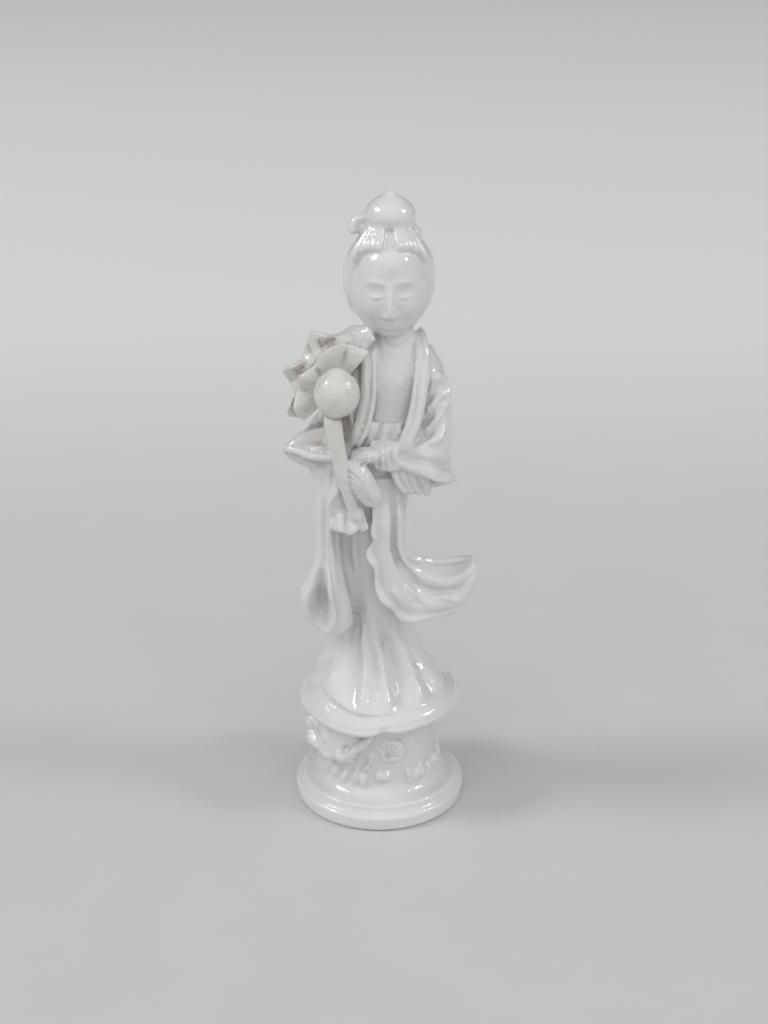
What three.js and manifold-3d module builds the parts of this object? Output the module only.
// A guanyin figure in white glazed porcelain, cast in one with its round plinth.
// Millimetres, +Z up. The origin is the centre of the plinth's underside, and the figure faces -Y.
// The figure's pose, proportions and carving are written at a height of DRAWN_HEIGHT above its
// plinth and follow FIGURE_HEIGHT. "Right" and "left" are the viewer's.
import * as THREE from 'three';
import { mergeVertices } from 'three/addons/utils/BufferGeometryUtils.js';
import Module from 'manifold-3d';

// Sizes of the plinth
const FOOT_DIAMETER = 44.6;
const FOOT_HEIGHT = 4.2;
const STEP_DIAMETER = 41.0;
const STEP_HEIGHT = 2.2;
const DRUM_DIAMETER = 30.0;
const DRUM_HEIGHT = 18.6;
const EDGE_ROUND = 1.2;
const WAVE_HEIGHT = 6.0;

// Sizes of the figure
const FIGURE_HEIGHT = 135.0;
const HEM_DIAMETER = 40.8;
const STEM_DIAMETER = 4.4;
const BUD_DIAMETER = 10.8;
const SASH_THICKNESS = 2.6;

// How far a facet may stray from the form it stands for
const FACET_ERROR = 0.18;

const DRAWN_HEIGHT = 135.0;
const PLINTH_HEIGHT = FOOT_HEIGHT + STEP_HEIGHT + DRUM_HEIGHT;
const SHARE = FIGURE_HEIGHT / DRAWN_HEIGHT;
// How far the drum runs on up inside the skirt
const INSIDE = 5.0;
// Share of the drum's height over which its foot flares out to the step
const FLARE = 0.35;
const TAU = Math.PI * 2;
const FRONT = -Math.PI / 2;
const PORCELAIN = new THREE.MeshStandardMaterial({ color: 0xdcdcde, roughness: 0.12, metalness: 0.0 });

const wasm = await Module();
wasm.setup();

// Small helpers for curves and bumps

const radians = THREE.MathUtils.degToRad;
const mix = (a, b, t) => a + (b - a) * t;
const clamp01 = (t) => Math.min(1, Math.max(0, t));

function smooth(from, to, t) {
  const s = clamp01((t - from) / (to - from));
  return s * s * (3 - 2 * s);
}

function bell(t, centre, width) {
  return Math.exp(-(((t - centre) / width) ** 2));
}

// The shortest signed way round from one angle to another.
function turn(angle, centre) {
  return Math.atan2(Math.sin(angle - centre), Math.cos(angle - centre));
}

// Reads rows of [t, value, value, ...] smoothly at any t, without overshoot.
function stations(rows) {
  const slope = (i, column) => {
    if (i <= 0 || i >= rows.length - 1) return 0;
    const before = (rows[i][column] - rows[i - 1][column]) / (rows[i][0] - rows[i - 1][0]);
    const after = (rows[i + 1][column] - rows[i][column]) / (rows[i + 1][0] - rows[i][0]);
    return before * after <= 0 ? 0 : (2 * before * after) / (before + after);
  };
  return (t) => {
    const last = rows.length - 1;
    const held = Math.min(Math.max(t, rows[0][0]), rows[last][0]);
    let i = 0;
    while (i < last - 1 && held > rows[i + 1][0]) i += 1;
    const width = rows[i + 1][0] - rows[i][0];
    const s = (held - rows[i][0]) / width;
    return rows[i].slice(1).map((value, n) => {
      const next = rows[i + 1][n + 1];
      const m0 = slope(i, n + 1) * width;
      const m1 = slope(i + 1, n + 1) * width;
      return (2 * s ** 3 - 3 * s ** 2 + 1) * value + (s ** 3 - 2 * s ** 2 + s) * m0
        + (3 * s ** 2 - 2 * s ** 3) * next + (s ** 3 - s ** 2) * m1;
    });
  };
}

function curve(points) {
  const line = new THREE.CatmullRomCurve3(points.map((p) => new THREE.Vector3(...p)), false, 'centripetal');
  return (t) => line.getPoint(clamp01(t));
}

// Solids from three.js geometries whose vertices are moved

function toSolid(geometry) {
  const bare = geometry.clone();
  bare.deleteAttribute('normal');
  bare.deleteAttribute('uv');
  const merged = mergeVertices(bare, 1e-4);
  const triVerts = [];
  const index = merged.index.array;
  for (let i = 0; i < index.length; i += 3) {
    const corner = [index[i], index[i + 1], index[i + 2]];
    if (new Set(corner).size === 3) triVerts.push(...corner);
  }
  const build = (tris) => new wasm.Manifold(new wasm.Mesh({
    numProp: 3,
    vertProperties: merged.attributes.position.array,
    triVerts: new Uint32Array(tris),
  }));
  const solid = build(triVerts);
  if (solid.volume() > 0) return solid;
  return build(triVerts.reverse());
}

function reshape(geometry, move) {
  const place = geometry.attributes.position;
  const point = new THREE.Vector3();
  for (let i = 0; i < place.count; i += 1) {
    point.fromBufferAttribute(place, i);
    place.setXYZ(i, ...move(point).toArray());
  }
  return toSolid(geometry);
}

// A closed skin: place(angle, t) gives the ring at t from 0 to 1, and each end closes on its middle.
function skin(around, along, place) {
  const ringPoint = (step, t) => place((step / around) * TAU, t);
  const middle = (t) => {
    const sum = new THREE.Vector3();
    for (let i = 0; i < around; i += 1) sum.add(ringPoint(i, t));
    return sum.divideScalar(around);
  };
  return reshape(new THREE.CylinderGeometry(1, 1, 1, around, along), (p) => {
    const t = Math.round((p.y + 0.5) * along) / along;
    if (Math.hypot(p.x, p.z) < 0.5) return middle(t);
    const step = Math.round((Math.atan2(p.z, p.x) / TAU) * around);
    return ringPoint((step + around) % around, t);
  });
}

// A closed slab of cloth: place(u, v) is its middle surface and thick(u, v) its thickness.
function slab(across, along, place, thick) {
  const tiny = 1e-3;
  return reshape(new THREE.BoxGeometry(1, 1, 1, across, along, 1), (p) => {
    const u = p.x + 0.5;
    const v = p.y + 0.5;
    const alongU = place(Math.min(1, u + tiny), v).sub(place(Math.max(0, u - tiny), v));
    const alongV = place(u, Math.min(1, v + tiny)).sub(place(u, Math.max(0, v - tiny)));
    const normal = alongU.cross(alongV).normalize();
    return place(u, v).addScaledVector(normal, p.z * thick(u, v));
  });
}

// A round bar along a curve, with rounded ends.
function bar(around, along, path, radius) {
  const line = curve(path);
  return skin(around, along, (angle, t) => {
    const end = Math.sqrt(Math.max(0.06, 1 - Math.abs(2 * t - 1) ** 9));
    const ahead = line(Math.min(1, t + 0.02)).sub(line(Math.max(0, t - 0.02))).normalize();
    const side = new THREE.Vector3(0, 1, 0).cross(ahead).normalize();
    const up = ahead.clone().cross(side);
    const r = radius(t) * end;
    return line(t).addScaledVector(side, r * Math.cos(angle)).addScaledVector(up, r * Math.sin(angle));
  });
}

function ball(around, rings, centre, size, relief = () => 1) {
  return reshape(new THREE.SphereGeometry(1, around, rings), (p) => {
    const direction = new THREE.Vector3(p.x, p.z, p.y);
    const grown = relief(direction);
    const place = new THREE.Vector3(...size).multiply(direction).multiplyScalar(grown);
    return place.add(new THREE.Vector3(...centre));
  });
}

// The plinth: foot, step, cove and drum, turned about the vertical

function plinth() {
  const foot = FOOT_DIAMETER / 2;
  const step = STEP_DIAMETER / 2;
  const drum = DRUM_DIAMETER / 2;
  const stepTop = FOOT_HEIGHT + STEP_HEIGHT;
  const outline = new THREE.Path();
  outline.moveTo(0, 0);
  outline.lineTo(foot - EDGE_ROUND, 0);
  outline.quadraticCurveTo(foot, 0, foot, EDGE_ROUND);
  outline.lineTo(foot, FOOT_HEIGHT - EDGE_ROUND);
  outline.quadraticCurveTo(foot, FOOT_HEIGHT, foot - EDGE_ROUND, FOOT_HEIGHT);
  outline.lineTo(step, FOOT_HEIGHT + 0.5 * STEP_HEIGHT);
  outline.quadraticCurveTo(step, stepTop, step - EDGE_ROUND, stepTop);
  outline.quadraticCurveTo(drum, stepTop, drum, stepTop + FLARE * DRUM_HEIGHT);
  outline.lineTo(drum, PLINTH_HEIGHT + INSIDE);
  outline.lineTo(0, PLINTH_HEIGHT + INSIDE);
  return toSolid(new THREE.LatheGeometry(outline.getPoints(2), 36).rotateX(Math.PI / 2));
}

// Relief on the drum: waves round its foot, a curled leaf with its stalk, and a shell

function onDrum(degrees, z, out) {
  const r = DRUM_DIAMETER / 2 + out;
  return [r * Math.cos(radians(degrees)), r * Math.sin(radians(degrees)), z];
}

// A height on the drum, as a share of the way up it.
const upDrum = (share) => FOOT_HEIGHT + STEP_HEIGHT + share * DRUM_HEIGHT;

// How far the foot of the drum flares out at a height.
function cove(z) {
  const risen = clamp01((z - upDrum(0)) / (FLARE * DRUM_HEIGHT));
  return (STEP_DIAMETER / 2 - EDGE_ROUND - DRUM_DIAMETER / 2) * (1 - Math.sqrt(risen)) ** 2;
}

// Waves at the front: degrees round, share of WAVE_HEIGHT, lean in degrees
const FRONT_WAVES = [
  [-151, 0.77, 2], [-138, 0.9, -2], [-126, 0.8, 2], [-114, 1.1, 3], [-106, 0.85, -2], [-60, 1.0, -2],
  [-52, 0.8, 2], [-44, 1.07, -3], [-34, 0.8, 2], [-24, 0.97, 2], [-14, 0.73, -2],
];
const BACK_WAVES = 16;
// Drops of spray between the waves: degrees round, share of the drum's height
const SPRAY = [[-90, 0.3], [-83, 0.3]];

function waves() {
  const spread = 9.4;
  const back = Array.from({ length: BACK_WAVES }, (_, n) => [
    n * spread + 2 * Math.sin(n * 2.3),
    0.87 + 0.2 * Math.sin(n * 1.9),
    2.5 * Math.cos(n * 2.7),
  ]);
  const low = upDrum(0.11);
  return [...FRONT_WAVES, ...back].map(([degrees, share, lean]) => {
    const tall = share * WAVE_HEIGHT;
    return bar(5, 3, [
      onDrum(degrees - 0.6 * lean, low, cove(low) - 0.4),
      onDrum(degrees, low + 0.3 * tall, cove(low + 0.3 * tall) + 0.1),
      onDrum(degrees + 0.3 * lean, low + 0.62 * tall, cove(low + 0.62 * tall) + 0.15),
      onDrum(degrees + lean, low + tall, -0.7),
    ], (t) => 0.35 + 0.65 * Math.sin(Math.PI * t));
  });
}

function spray() {
  return SPRAY.map(([degrees, share]) => ball(8, 6, onDrum(degrees, upDrum(share), 0.1), [1.2, 1.2, 1.5]));
}

// A curled leaf under the hem: a sheet with a rolled lower edge and lumps, a stalk and a shoot
function drumLeaf() {
  const sheet = slab(12, 3, (u, v) => {
    const sunk = 1.9 * (1 - smooth(0, 0.22, u));
    const out = 0.6 - sunk + 1.6 * Math.sin(Math.PI * u) ** 0.6 * smooth(1.2, 0.2, v);
    const low = 0.5 + 0.3 * (1 - smooth(0, 0.35, u));
    return new THREE.Vector3(...onDrum(mix(-190, -116, u), upDrum(mix(low, 1.05, v)), out));
  }, () => 1.6);
  const roll = bar(8, 12, [
    onDrum(-190, upDrum(0.9), -0.6),
    onDrum(-176, upDrum(0.74), 2.2),
    onDrum(-163, upDrum(0.6), 3.0),
    onDrum(-150, upDrum(0.56), 2.2),
    onDrum(-139, upDrum(0.53), 1.6),
    onDrum(-128, upDrum(0.6), 2.2),
    onDrum(-117, upDrum(0.58), 1.6),
  ], (t) => 1.55 + 0.3 * Math.sin(t * 21 + 1));
  // degrees round, share of the way up, how far out, half size
  const lumps = [
    [-182, 0.92, 1.4, 2.4], [-170, 0.8, 2.4, 2.3], [-157, 0.9, 1.6, 2.2], [-146, 0.74, 1.6, 1.9],
    [-134, 0.88, 0.6, 2.0], [-124, 0.74, 1.0, 1.5], [-117, 0.93, -0.2, 2.0],
  ].map(([degrees, share, out, size]) => (
    ball(8, 6, onDrum(degrees, upDrum(share), out), [size, size, 1.1 * size])));
  const stalk = bar(7, 6, [
    onDrum(-119, upDrum(0.6), 1.2),
    onDrum(-112, upDrum(0.74), 1.5),
    onDrum(-104, upDrum(0.84), 1.0),
    onDrum(-94, upDrum(0.97), 0.4),
  ], (t) => 1.7 - 0.7 * t);
  const shoot = bar(6, 4, [
    onDrum(-105, upDrum(0.38), 0.0),
    onDrum(-101, upDrum(0.52), 0.6),
    onDrum(-97, upDrum(0.66), -0.4),
  ], () => 0.8);
  return [sheet, roll, ...lumps, stalk, shoot];
}

function drumShell() {
  return ball(14, 9, onDrum(-78, upDrum(0.7), -0.2), [3.6, 1.8, 3.6]);
}

// The robe: skirt, waist, chest and neck as one loft

const hem = HEM_DIAMETER / SHARE / 2;
const ROBE_LOW = -1.0;
const ROBE_TOP = 108.0;
const ROBE = stations([
  // height, middle x, middle y, half width, half depth in front, half depth behind
  [-1.0, 0.0, 0.0, 13.0, 13.0, 13.0],
  [0.2, 0.0, 0.0, hem - 2.2, hem - 2.2, hem - 2.2],
  [1.0, 0.0, 0.0, hem - 0.5, hem - 0.6, hem - 0.8],
  [2.4, 0.0, 0.0, hem, hem, hem - 0.4],
  [4.2, 0.0, 0.0, hem - 0.6, hem - 0.8, hem - 1.2],
  [6.5, -0.2, 0.0, 0.9 * hem, 0.89 * hem, 0.84 * hem],
  [9.0, -0.4, 0.0, 0.82 * hem, 0.8 * hem, 0.74 * hem],
  [12.0, -0.6, 0.2, 15.0, 13.9, 13.0],
  [15.0, -0.8, 0.3, 13.0, 12.2, 11.6],
  [18.5, -1.2, 0.4, 11.6, 10.9, 10.4],
  [24.0, -2.7, 0.5, 11.1, 9.8, 9.8],
  [34.0, -4.0, 0.4, 10.9, 9.4, 9.6],
  [46.0, -4.5, 0.2, 11.1, 9.6, 9.8],
  [56.0, -4.4, 0.0, 11.3, 10.2, 9.8],
  [64.0, -2.8, 0.0, 11.6, 10.4, 9.2],
  [71.0, -0.4, 0.2, 11.0, 9.8, 8.6],
  [77.0, 1.2, 0.4, 10.2, 9.2, 8.2],
  [83.0, 2.4, 0.4, 10.2, 8.8, 8.0],
  [89.0, 3.2, 0.4, 10.8, 8.6, 8.0],
  [93.5, 3.7, 0.3, 10.4, 7.8, 7.4],
  [97.5, 3.9, 0.0, 7.8, 6.4, 6.4],
  [100.5, 3.8, -0.4, 5.4, 5.2, 5.4],
  [104.0, 3.2, -0.8, 4.7, 4.6, 4.9],
  [108.0, 2.8, -1.0, 4.4, 4.4, 4.6],
]);

// Folds of the skirt: degrees round, reach in degrees, height, and where each has died out
const FOLDS = [
  [-136, 15, 1.5, 25], [-113, 6, -0.9, 30], [-102, 4.5, 1.0, 28], [-92, 5, -0.5, 22], [-82, 5.5, 1.4, 30],
  [-67, 6.5, -1.9, 33], [-50, 6, 1.3, 28], [-37, 5, -0.5, 24], [-22, 9, 1.1, 22], [0, 8, -0.6, 22],
  [14, 7, 0.6, 30], [30, 10, 0.9, 60], [50, 9, -0.9, 60], [72, 10, 1.0, 66], [93, 9, -0.9, 66],
  [114, 10, 1.0, 66],
  [134, 9, -0.8, 60], [156, 11, 0.8, 50],
];

function robe(angle, z) {
  const [x, y, wide, front, back] = ROBE(z);
  const deep = Math.sin(angle) < 0 ? front : back;
  // the overskirt's edge falls from the left side round to the front, and the hem under it is plain
  const round = Math.abs(turn(angle, Math.PI));
  const edge = 11.8 - 5.2 * smooth(0, radians(85), round);
  const drop = smooth(radians(135), radians(70), round);
  let grow = 0.95 * drop * smooth(edge - 0.9, edge + 0.6, z) * (1 - smooth(edge + 2, edge + 10, z));
  for (const [degrees, reach, rise, top] of FOLDS) {
    const away = turn(angle, radians(degrees)) / radians(reach);
    grow += rise * Math.exp(-away * away) * smooth(edge - 0.5, edge + 4, z) * (1 - smooth(top * 0.5, top, z));
  }
  // the deep channel between the hanging sleeve and the sash, with its thin ridge
  const along = smooth(17, 26, z) * (1 - smooth(53, 58, z));
  const channel = 2.2 * bell(turn(angle, radians(-101)), 0, 0.26);
  grow -= along * (channel - 0.8 * bell(turn(angle, radians(-99)), 0, 0.085));
  // the hem hangs lowest at the front left and has a small notch beside it
  const hang = 2.2 - 1.3 * bell(turn(angle, radians(-107)), 0, 0.5)
    + 0.7 * bell(turn(angle, radians(-87)), 0, 0.14) + 0.7 * bell(turn(angle, radians(-15)), 0, 0.8);
  const lift = hang * (1 - smooth(2, 9, z)) * smooth(-0.9, 0.2, z);
  return new THREE.Vector3(
    x + (wide + grow) * Math.cos(angle),
    y + (deep + grow) * Math.sin(angle),
    z + lift,
  );
}

function robeSolid() {
  // rings lie closer together where the hem turns
  const height = (t) => mix(ROBE_LOW, ROBE_TOP, t < 0.4 ? t * 0.32 : mix(0.128, 1, (t - 0.4) / 0.6));
  return skin(54, 34, (angle, t) => robe(angle, height(t)));
}

// The right sleeve, a wide bag of cloth from the shoulder to its rim
const SLEEVE_RIGHT = stations([
  // share down the arm, middle x, y, z, half width, half depth
  [0.0, 8.4, -0.2, 99.4, 2.0, 2.6],
  [0.1, 8.8, -0.2, 97.2, 4.3, 5.4],
  [0.25, 10.8, -0.3, 92.0, 5.2, 6.8],
  [0.45, 12.3, -0.8, 84.0, 5.5, 7.8],
  [0.65, 12.1, -2.0, 76.5, 5.7, 9.4],
  [0.82, 10.9, -3.4, 70.0, 6.7, 10.6],
  [0.94, 10.7, -4.0, 65.4, 8.0, 11.2],
  [1.0, 10.7, -4.0, 64.6, 6.4, 9.6],
]);

function sleeveRight() {
  return skin(26, 18, (angle, t) => {
    const [x, y, z, wide, deep] = SLEEVE_RIGHT(t);
    const px = x + wide * Math.cos(angle);
    const py = y + deep * Math.sin(angle);
    // a valley beside the collar edge, and a rim that rises towards the middle of the front
    const valley = 1.3 * bell(px, 11.2, 1.3) * smooth(95, 90, z) * smooth(70, 78, z)
      * smooth(0, -0.6, Math.sin(angle));
    const rise = smooth(0.5, 0.95, t) * (0.5 * Math.max(0, 18 - px) * smooth(-5, -11, py) - 0.1 * (py + 3));
    return new THREE.Vector3(
      px,
      py - valley * Math.sin(angle),
      z + rise,
    );
  });
}

// Folds that run down and inwards across the arm, and the sleeve's rolled rim
const ARM_FOLDS = [
  [[11.6, -7.1, 91.6], [14.5, -5.3, 91.8], [16.0, -4.2, 89.6], [16.4, -5.5, 86.4], [15.8, -7.1, 84.0]],
  [[16.0, -5.1, 88.0], [13.1, -7.9, 87.0], [11.9, -7.6, 84.8], [11.2, -7.7, 83.4]],
  [[16.0, -6.5, 85.2], [13.8, -8.9, 83.0], [11.4, -8.7, 79.8], [10.6, -9.0, 78.6]],
  [[16.0, -7.8, 81.2], [14.1, -10.2, 78.0], [11.2, -11.4, 77.0], [8.8, -12.2, 75.6]],
];

function armFolds() {
  const front = [
    [3.4, -12.0, 73.2], [8.0, -13.7, 71.6], [13.0, -12.3, 69.6], [17.4, -8.5, 67.2], [18.5, -3.4, 65.2],
  ];
  const behind = [[18.6, -4.0, 65.4], [17.9, -1.4, 64.4], [14.6, -2.6, 63.8], [10.6, -5.0, 64.2]];
  return [
    ...ARM_FOLDS.map((path) => bar(7, 7, path, () => 1.2)),
    bar(8, 9, front, () => 1.3),
    bar(8, 6, behind, () => 1.25),
  ];
}

// The left sleeve, thrown out sideways, with its rolled lip
const SLEEVE_LEFT = stations([
  [0.0, -1.0, -0.2, 99.2, 2.2, 2.6],
  [0.12, -2.6, -0.2, 96.5, 4.4, 5.2],
  [0.35, -5.6, -0.6, 90.0, 5.0, 6.4],
  [0.6, -8.8, -1.6, 81.0, 5.6, 7.4],
  [0.8, -11.0, -3.0, 74.5, 6.2, 8.4],
  [0.93, -11.6, -3.8, 68.5, 5.6, 8.0],
  [1.0, -11.8, -3.6, 65.0, 4.2, 6.2],
]);

function sleeveLeft() {
  return skin(18, 10, (angle, t) => {
    const [x, y, z, wide, deep] = SLEEVE_LEFT(t);
    return new THREE.Vector3(x + wide * Math.cos(angle), y + deep * Math.sin(angle), z);
  });
}

// Lines of the thrown lip from the arm to its tip: far edge, crest, valley and near edge
const LIP_LINES = [
  [[-8.0, 1.0, 84.0], [-13.0, 1.4, 81.6], [-18.0, 0.0, 76.4], [-21.4, -2.0, 74.2], [-23.2, -5.2, 73.0]],
  [[-8.5, -6.6, 80.6], [-12.8, -7.0, 78.8], [-17.0, -6.2, 77.6], [-20.4, -4.8, 75.4], [-23.2, -5.9, 73.1]],
  [[-9.0, -10.2, 76.4], [-13.0, -9.6, 75.2], [-17.0, -8.2, 74.3], [-20.6, -6.9, 73.8], [-23.2, -6.5, 73.0]],
  [
    [-11.0, -13.8, 74.2], [-15.6, -12.4, 73.8], [-19.2, -10.8, 74.4], [-21.6, -9.0, 74.4],
    [-23.2, -7.0, 73.2],
  ],
];

function lipLeft() {
  const lines = LIP_LINES.map(curve);
  const across = (u, v) => curve(lines.map((line) => line(v).toArray()))(u);
  const sheet = slab(8, 10, across, (u, v) => 1.9 - 0.7 * v);
  const rim = bar(8, 11, [
    [-9.2, -14.0, 74.6],
    [-11.4, -13.7, 74.4],
    [-15.6, -12.4, 74.1],
    [-19.2, -10.8, 74.8],
    [-21.7, -9.0, 74.8],
    [-23.1, -7.0, 73.5],
  ], () => 1.0);
  const under = bar(10, 7, [
    [-9.0, -7.0, 71.0],
    [-13.5, -7.4, 71.2],
    [-17.4, -6.4, 71.6],
    [-20.4, -5.8, 72.2],
    [-22.4, -6.0, 72.8],
  ], (t) => 3.4 - 2.2 * t);
  return [sheet, rim, under];
}

// The long hanging end of the left sleeve, whose mouth opens to the front and left
const HANGING = stations([
  // share down, middle x, y, z, half width, half depth
  [0.0, -12.0, -5.2, 70.0, 3.9, 6.4],
  [0.15, -12.2, -5.8, 62.0, 3.7, 6.2],
  [0.36, -12.3, -6.4, 52.0, 3.7, 5.8],
  [0.5, -12.0, -7.0, 45.6, 4.3, 5.4],
  [0.62, -12.2, -7.6, 40.4, 5.9, 5.2],
  [0.74, -12.8, -8.0, 35.4, 7.2, 5.0],
  [0.85, -12.3, -8.3, 31.0, 6.9, 4.6],
  [0.94, -11.5, -8.6, 27.2, 4.9, 3.8],
  [1.0, -10.9, -8.8, 24.8, 1.6, 1.4],
]);

function hanging() {
  return skin(24, 20, (angle, t) => {
    const [x, y, z, wide, deep] = HANGING(t);
    const front = turn(angle, FRONT);
    const folds = (0.6 * bell(front, -0.85, 0.2) - 0.5 * bell(front, -0.4, 0.2) + 0.8 * bell(front, 0.05, 0.2)
      - 0.55 * bell(front, 0.5, 0.2)) * (1 - smooth(0.6, 0.95, t));
    const open = smooth(0.46, 0.64, t) * (1 - smooth(0.8, 0.95, t));
    const band = 0.9 * bell(front, 0.2, 0.3) * smooth(0.45, 0.7, t) * (1 - smooth(0.85, 1, t));
    const r = folds + band - 3.4 * bell(front, -0.28, 0.3) * open;
    return new THREE.Vector3(x + (wide + r) * Math.cos(angle), y + (deep + r) * Math.sin(angle), z);
  });
}

// The sash end that swings out to the right in two long folds, with a scalloped lower border
const SWAG_INNER = [
  [5.2, -8.6, 68], [5.8, -8.4, 59.8], [6.1, -8.0, 53.2], [7.0, -7.2, 49], [9.4, -6.4, 45.8],
  [15.2, -5.8, 44.2], [20.2, -5.8, 44.8], [24.0, -6.6, 45.6],
];
const SWAG_OUTER = [
  [-1.8, -11.6, 68], [-1.6, -12.2, 60.2], [-1.6, -12.8, 54], [-2.4, -13.2, 49.6], [-1.2, -13.8, 43.2],
  [1.8, -13.8, 35.4], [5.2, -13.0, 32.0], [12.2, -11.4, 30.4], [19.4, -9.4, 33.2], [22.9, -8.2, 38.6],
  [23.9, -7.4, 42.6],
];

function swag() {
  const inner = curve(SWAG_INNER);
  const outer = curve(SWAG_OUTER);
  return slab(12, 34, (u, v) => {
    const p = inner(v).lerp(outer(v), u);
    const valley = mix(0.37, 0.57, smooth(0.55, 0.9, v));
    const wave = 1.6 * bell(u, valley - 0.16, 0.1) - 2.2 * bell(u, valley, 0.08)
      + 1.4 * bell(u, valley + 0.24, 0.14) + 0.7 * bell(u, 0.97, 0.07)
      - 0.8 * bell(u, 0, 0.1) * smooth(0.5, 0.8, v);
    const border = smooth(0.55, 1, u) * smooth(0.12, 0.22, v) * smooth(0.97, 0.8, v);
    const phase = (TAU * (v - 0.2)) / mix(0.12, 0.17, v);
    p.addScaledVector(outer(v).sub(inner(v)).normalize(), -0.75 * Math.sin(phase) * border);
    const fall = wave + 1.0 * Math.sin(Math.PI * u) + 0.5 * Math.sin(phase + 0.8) * border;
    p.y -= fall * smooth(0.0, 0.2, v) * (1 - 0.5 * smooth(0.9, 1, v));
    return p;
  }, (u) => (SASH_THICKNESS / SHARE) * (0.5 + 0.5 * Math.sin(Math.PI * u) ** 0.5));
}

// Cloth beside the stem, and its small scalloped end behind the foot of the stem
function tassel() {
  const scallops = (u) => 2.2 * bell(u, 0.5, 0.14) + 1.6 * bell(u, 0.14, 0.11) + 1.6 * bell(u, 0.87, 0.11);
  return [
    bar(9, 5, [[-9.0, -9.8, 71.0], [-9.9, -11.0, 64.6], [-9.6, -11.6, 58.4]], () => 2.5),
    slab(14, 5, (u, v) => {
      const ripple = 0.9 * Math.cos(u * TAU * 3 + 0.3) * smooth(0.5, 1, v);
      return new THREE.Vector3(
        mix(mix(-10.4, -12.0, v), mix(-5.4, -2.8, v), u),
        -8.8 - 2.2 * Math.sin(Math.PI * u) - 4.2 * smooth(0, 1, v) - ripple,
        mix(65, 56.6 - scallops(u), v),
      );
    }, (u, v) => 2.3 - 0.6 * v),
  ];
}

// The gathered band at the waist and its tied end
const PLEATS = 20;

function waistband() {
  return skin(60, 5, (angle, t) => {
    const z = mix(74.6, 81.7, t);
    const [x, y, wide, front, back] = ROBE(z);
    const facing = Math.max(0, -Math.sin(angle));
    const pleat = (Math.abs(Math.cos((turn(angle, FRONT) * PLEATS) / 2 + 0.5)) * 2 - 1) * facing;
    const swell = (1.7 + 0.5 * pleat) * smooth(0, 0.25, t) * (1 - 0.25 * smooth(0.7, 1, t));
    const deep = Math.sin(angle) < 0 ? front : back;
    return new THREE.Vector3(
      x + (wide + swell - 1.2) * Math.cos(angle),
      y + (deep + swell) * Math.sin(angle),
      z + 0.35 * pleat * smooth(0.5, 1, t),
    );
  });
}

function tiedEnd() {
  // place across the front, lower end, half size
  const gathers = [[-0.9, 71.4, 1.1], [0.6, 70.8, 1.25], [2.2, 70.4, 1.3], [3.7, 70.6, 1.15]];
  return gathers.map(([x, foot, radius]) => bar(8, 5, [
    [x - 0.5, -10.6, 77.4],
    [x, -13.7 + 0.15 * x, 75.4],
    [x + 0.4, -13.6 + 0.15 * x, foot],
  ], (t) => radius * (1.05 - 0.2 * t)));
}

// The collar edges that fall from the neck to the waist, an inner and an outer ridge on either side
const COLLAR_RIGHT = [
  [9.0, 3.4, 101.4], [9.9, -3.4, 99.4], [10.1, -7.0, 94.5], [9.4, -8.8, 88.5], [8.2, -10.0, 82.5],
  [6.4, -11.2, 78.0], [4.3, -12.0, 74.4],
];
const COLLAR_LEFT = [
  [-1.0, 3.4, 101.4], [-2.1, -3.4, 99.4], [-2.3, -7.0, 94.5], [-2.4, -8.8, 88.0], [-3.4, -9.8, 82.5],
  [-5.7, -11.0, 76.0],
];

function collar() {
  return [[COLLAR_RIGHT, 1], [COLLAR_LEFT, -1]].flatMap(([path, side]) => [
    bar(7, 12, path.map(([x, y, z]) => [x - 0.85 * side, y - 0.35, z]), (t) => mix(0.85, 1.0, t)),
    bar(7, 12, path.map(([x, y, z]) => [x + 0.85 * side, y + 0.15, z]), (t) => mix(1.05, 1.35, t)),
  ]);
}

// Forearm, gathered cuff, the closed hand and its wrist
function hand() {
  return [
    bar(10, 5, [
      [9.0, -8.6, 70.5],
      [4.6, -11.0, 72.6],
      [0.6, -13.2, 74.4],
      [-2.6, -15.0, 75.4],
    ], (t) => mix(2.8, 2.2, t)),
    ball(14, 7, [-3.0, -15.4, 75.6], [3.5, 2.9, 1.9], (d) => (
      1 + 0.08 * Math.cos(Math.atan2(d.y, d.x) * 7) * (1 - d.z * d.z))),
    bar(12, 8, [
      [-6.2, -15.2, 75.0],
      [-5.5, -16.4, 72.2],
      [-3.9, -17.0, 69.2],
      [-2.2, -16.4, 66.0],
      [-1.0, -15.2, 63.6],
    ], (t) => 2.3 + 0.8 * Math.sin(Math.PI * t) ** 0.7),
    bar(8, 5, [
      [-6.4, -16.4, 73.8],
      [-4.8, -16.8, 75.2],
      [-2.2, -16.4, 76.0],
      [0.2, -15.0, 75.6],
    ], (t) => 1.15 + 0.4 * t),
  ];
}

// Bunched folds that show below the right sleeve
function bunch() {
  const count = 4;
  return Array.from({ length: count }, (_, n) => bar(8, 4, [
    [3.2 + 1.6 * n, -10.4, 71.8],
    [4.4 + 2.0 * n, -12.7 + 0.6 * n, 68.4 - 0.4 * n],
    [6.9 + 1.7 * n, -12.6 + 0.9 * n, 64.8 - 0.7 * n],
  ], (t) => 1.15 + 0.05 * t));
}

// The lotus: stem with its rounded foot, bud and leaf
function stem() {
  const path = [
    [-11.0, -16.8, 88.0], [-10.4, -17.4, 82.0], [-8.9, -17.8, 74.0], [-7.1, -17.2, 66.0], [-5.6, -16.0, 60.2],
  ];
  const half = STEM_DIAMETER / SHARE / 2;
  return [
    bar(9, 12, path, (t) => half * mix(1, 0.68, smooth(0.1, 0.9, t))),
    ball(10, 7, [-5.4, -16.2, 61.0], [2.0, 1.8, 2.1]),
  ];
}

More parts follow.
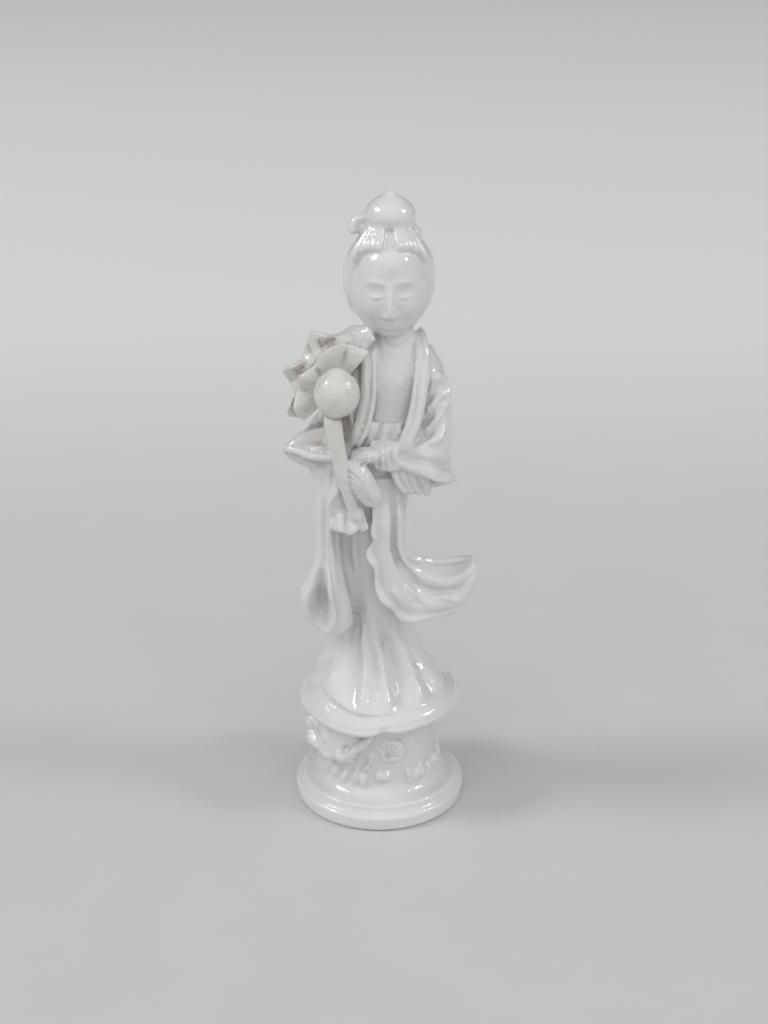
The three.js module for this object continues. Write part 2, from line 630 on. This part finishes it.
function bud() {
  const half = BUD_DIAMETER / SHARE / 2;
  return ball(16, 10, [-9.7, -17.0, 91.3], [half, half, half * 1.06], (d) => 1 + 0.08 * smooth(0.85, 1, d.z));
}

const LEAF_EDGE = stations([
  // degrees round, reach of the near rim, reach of the far rim
  [52, 13.4, 15.4],
  [74, 13.2, 15.0],
  [95, 11.4, 14.2],
  [111, 10.2, 13.6],
  [133, 8.8, 12.2],
  [158, 9.2, 12.0],
  [190, 9.6, 11.4],
  [222, 10.6, 12.4],
]);
const LEAF_SECTION = stations([
  // share round, reach between the stalk at 0, the near rim at 1 and the far rim at 2, depth
  [0.0, 0.0, -5.6],
  [0.12, 1.0, -4.6],
  [0.26, 1.92, -4.8],
  [0.33, 2.0, -5.8],
  [0.4, 1.84, -6.8],
  [0.5, 1.2, -7.2],
  [0.59, 0.8, -8.6],
  [0.67, 0.92, -10.8],
  [0.73, 1.0, -11.8],
  [0.8, 0.86, -12.0],
  [0.9, 0.4, -11.2],
  [1.0, 0.0, -9.6],
]);

// A pleat's swing from one side to the other, with a sharp back.
const pleatWave = (s) => Math.asin(0.93 * s) / 1.2;

function leaf() {
  const low = 222;
  const high = 52;
  return skin(15, 26, (angle, t) => {
    const degrees = mix(low, high, t);
    const [near, far] = LEAF_EDGE(degrees);
    const [share, y] = LEAF_SECTION(angle / TAU);
    const phase = radians((degrees - 111) * 7.2);
    const back = pleatWave(Math.sin(phase));
    const front = smooth(-8, -11, y);
    const frill = 1.35 * smooth(1.2, 2, share) * pleatWave(Math.cos(phase));
    const small = 0.5 * bell(share, 1, 0.15) * Math.cos(radians((degrees - 96) * 7.2)) * front;
    const reach = share < 1 ? mix(1.2, near, share) : mix(near, far, share - 1);
    const r = reach + frill + small;
    return new THREE.Vector3(
      -10.4 + r * Math.cos(radians(degrees)),
      y + back * (2.9 * smooth(1.05, 2, share) + 0.9 * smooth(0.3, 1.0, share) * front),
      89.2 + r * Math.sin(radians(degrees)),
    );
  });
}

// The head, in plain calm proportions, with its hair swept up to a topknot
const HEAD = [2.6, -2.2, 112.8];

function head() {
  const [x, y, z] = HEAD;
  const pieces = [
    ball(24, 16, HEAD, [9.7, 9.3, 12.2], (d) => 1 - 0.08 * smooth(-0.2, -0.9, d.z) * Math.abs(d.x)),
    bar(6, 4, [
      [x, y - 8.5, z + 1.6],
      [x, y - 9.4, z - 1.4],
      [x, y - 10.2, z - 3.4],
      [x, y - 8.8, z - 4.2],
    ], (t) => mix(0.7, 1.2, t)),
    bar(6, 4, [[x - 2.0, y - 7.2, z - 6.9], [x, y - 8.3, z - 6.7], [x + 2.0, y - 7.2, z - 6.9]], () => 0.65),
  ];
  for (const side of [-1, 1]) {
    pieces.push(bar(6, 4, [
      [x + side * 1.7, y - 8.2, z - 0.2],
      [x + side * 3.7, y - 7.9, z - 0.7],
      [x + side * 5.6, y - 6.4, z + 0.1],
    ], () => 0.8));
  }
  return pieces;
}

const HAIRLINE = stations([
  // how far round to the front, height
  [0.0, 102.6],
  [0.2, 103.4],
  [0.34, 106.0],
  [0.44, 111.0],
  [0.54, 116.0],
  [0.66, 119.6],
  [0.85, 121.4],
  [1.0, 121.8],
]);
const HAIR_WIDTH = stations([
  // height, half width before it closes towards the topknot
  [102.0, 4.8],
  [104.8, 7.4],
  [106.8, 8.9],
  [109.5, 9.8],
  [113.0, 10.4],
  [118.0, 10.5],
]);
const HAIR_TOP = 127.6;
const HALF_ROLLS = 5;
// The topknot: radius and height
const KNOT = [
  [4.8, 126.6], [5.8, 128.0], [6.1, 129.4], [5.2, 131.6], [3.3, 133.2], [1.4, 134.0], [0.5, 134.5],
  [0, 135.0],
];

// The swept-up hair, from the hairline at 0 to the foot of the topknot at 1.
function hairCap(angle, t, proud = 0) {
  const round = -Math.sin(angle);
  const z = mix(HAIRLINE(round)[0], HAIR_TOP, t ** 1.15);
  const narrow = Math.sqrt(Math.max(0, 1 - 0.77 * smooth(104, HAIR_TOP, z) ** 5.5));
  const wide = HAIR_WIDTH(z)[0];
  const deep = wide * mix(0.99, 0.965, smooth(0.1, 0.95, round));
  const out = proud + 0.2 * Math.sin((t * Math.PI) / 2) - 1.35 * (1 - smooth(0, 0.3, t));
  return new THREE.Vector3(
    HEAD[0] - 0.2 + (wide * narrow + out) * Math.cos(angle),
    -0.6 + (deep * narrow + out) * Math.sin(angle),
    z,
  );
}

function hair() {
  const [x] = HEAD;
  // short rolls over the brow on either side of a parting, by share of the way up and rise over the hair
  const line = [[0.06, 0.1], [0.3, 0.5], [0.65, 0.45], [1, -0.2]];
  const shorter = 0.045;
  const rolls = [-1, 1].flatMap((side) => Array.from({ length: HALF_ROLLS }, (_, n) => {
    const angle = FRONT + side * (0.1 + 0.17 * (n + 1));
    const path = line.map(([t, proud]) => hairCap(angle, mix(t, 1, shorter * n), proud).toArray());
    return bar(6, 4, path, (t) => 0.3 + 0.55 * Math.sin(Math.PI * (0.06 + 0.84 * t)));
  }));
  const outline = new THREE.SplineCurve(KNOT.map((p) => new THREE.Vector2(...p))).getPoints(9);
  const lathe = new THREE.LatheGeometry([new THREE.Vector2(0, 125.0), ...outline], 18).rotateX(Math.PI / 2);
  const curl = [
    [-1.8, -0.6, 125.4], [-2.8, -0.8, 128.0], [-4.6, -1.4, 128.6], [-6.1, -2.0, 127.0], [-5.4, -2.8, 125.4],
  ];
  return [
    skin(40, 10, (angle, t) => hairCap(angle, t)),
    ...rolls,
    toSolid(lathe.translate(x, -0.4, 0)),
    bar(8, 8, curl, (t) => 1.5 - 0.5 * t),
    ball(9, 7, [-3.6, -1.2, 126.4], [1.9, 1.6, 1.9]),
    ball(9, 6, [8.0, -1.6, 124.8], [2.2, 2.8, 2.4]),
  ];
}

// Everything fuses into one solid, as clay does

function join(solids) {
  return solids.reduce((whole, solid) => whole.add(solid));
}

const figure = join([
  robeSolid(), sleeveRight(), ...armFolds(), sleeveLeft(), ...lipLeft(), hanging(), swag(), ...tassel(),
  waistband(), ...tiedEnd(), ...collar(), ...hand(), ...bunch(), ...stem(), bud(), leaf(), ...head(),
  ...hair(),
]).scale([SHARE, SHARE, SHARE]).translate([0, 0, PLINTH_HEIGHT]);

const whole = join([plinth(), ...waves(), ...spray(), ...drumLeaf(), drumShell(), figure]);

// Merges edges that carry no shape. Each corner remembers the planes that met at it, and an edge
// closes up where its new corner stays within FACET_ERROR of them and no facet turns over.
class Facets {
  constructor(solid) {
    const { vertProperties, triVerts, numProp } = solid.getMesh();
    this.corners = Array.from({ length: vertProperties.length / numProp }, (_, i) => ({
      at: new THREE.Vector3().fromArray(vertProperties, i * numProp),
      planes: [],
      faces: new Set(),
    }));
    for (let i = 0; i < triVerts.length; i += 3) {
      const face = Array.from(triVerts.subarray(i, i + 3), (n) => this.corners[n]);
      const plane = new THREE.Plane().setFromCoplanarPoints(...face.map((corner) => corner.at));
      for (const corner of face) {
        corner.faces.add(face);
        if (plane.normal.lengthSq() > 0.5) corner.planes.push(plane);
      }
    }
  }

  neighbours(corner) {
    const found = new Set([...corner.faces].flat());
    found.delete(corner);
    return found;
  }

  worst(planes, point) {
    return planes.reduce((most, plane) => Math.max(most, Math.abs(plane.distanceToPoint(point))), 0);
  }

  // True where a face that keeps its place in the skin would turn over or shrink to a sliver.
  spoils(corner, other, point) {
    const now = new THREE.Triangle();
    const next = new THREE.Triangle();
    const before = new THREE.Vector3();
    const after = new THREE.Vector3();
    return [...corner.faces].some((face) => {
      if (face.includes(other)) return false;
      now.set(...face.map((one) => one.at));
      next.set(...face.map((one) => (one === corner ? point : one.at)));
      const sides = [[next.a, next.b], [next.b, next.c], [next.c, next.a]];
      const longest = Math.max(...sides.map(([one, other]) => one.distanceTo(other)));
      if (next.getArea() < 0.02 * longest * longest && next.getArea() < now.getArea()) return true;
      return now.getNormal(before).dot(next.getNormal(after)) < 0.5 && now.getArea() > 1e-4;
    });
  }

  // The cheapest place for the corner that an edge becomes, with its error.
  closing(a, b) {
    const planes = [...a.planes, ...b.planes];
    const places = [a.at, b.at, a.at.clone().add(b.at).multiplyScalar(0.5)];
    const errors = places.map((place) => this.worst(planes, place));
    const error = Math.min(...errors);
    return { a, b, error, place: places[errors.indexOf(error)].clone() };
  }

  close({ a, b, place }) {
    const shared = [...this.neighbours(a)].filter((corner) => this.neighbours(b).has(corner));
    if (shared.length !== 2 || this.spoils(a, b, place) || this.spoils(b, a, place)) return false;
    for (const face of b.faces) {
      if (face.includes(a)) {
        for (const corner of face) corner.faces.delete(face);
      } else {
        face[face.indexOf(b)] = a;
        a.faces.add(face);
      }
    }
    a.at = place;
    a.planes.push(...b.planes);
    b.faces.clear();
    return true;
  }

  lighten(limit) {
    let closed = 1;
    while (closed > 0) {
      const edges = [];
      this.corners.forEach((corner, i) => { corner.order = i; });
      for (const a of this.corners) {
        for (const b of this.neighbours(a)) if (a.order < b.order) edges.push(this.closing(a, b));
      }
      const cheap = edges.filter((edge) => edge.error < limit).sort((one, two) => one.error - two.error);
      const touched = new Set();
      closed = 0;
      for (const edge of cheap) {
        if (touched.has(edge.a) || touched.has(edge.b)) continue;
        const near = [edge.a, edge.b, ...this.neighbours(edge.a), ...this.neighbours(edge.b)];
        if (this.close(edge)) {
          closed += 1;
          near.forEach((corner) => touched.add(corner));
        }
      }
      this.corners = this.corners.filter((corner) => corner.faces.size > 0);
    }
    return this;
  }

  geometry() {
    this.corners.forEach((corner, i) => { corner.order = i; });
    const faces = [...new Set(this.corners.flatMap((corner) => [...corner.faces]))];
    const geometry = new THREE.BufferGeometry().setFromPoints(this.corners.map((corner) => corner.at));
    return geometry.setIndex(faces.flatMap((face) => face.map((corner) => corner.order)));
  }
}

function toMesh(solid, name, material) {
  const geometry = new Facets(solid).lighten(FACET_ERROR).geometry();
  geometry.computeVertexNormals();
  const mesh = new THREE.Mesh(geometry, material);
  mesh.name = name;
  return mesh;
}

const part = new THREE.Group();
part.add(toMesh(whole, 'guanyin_figure', PORCELAIN));

export default part;
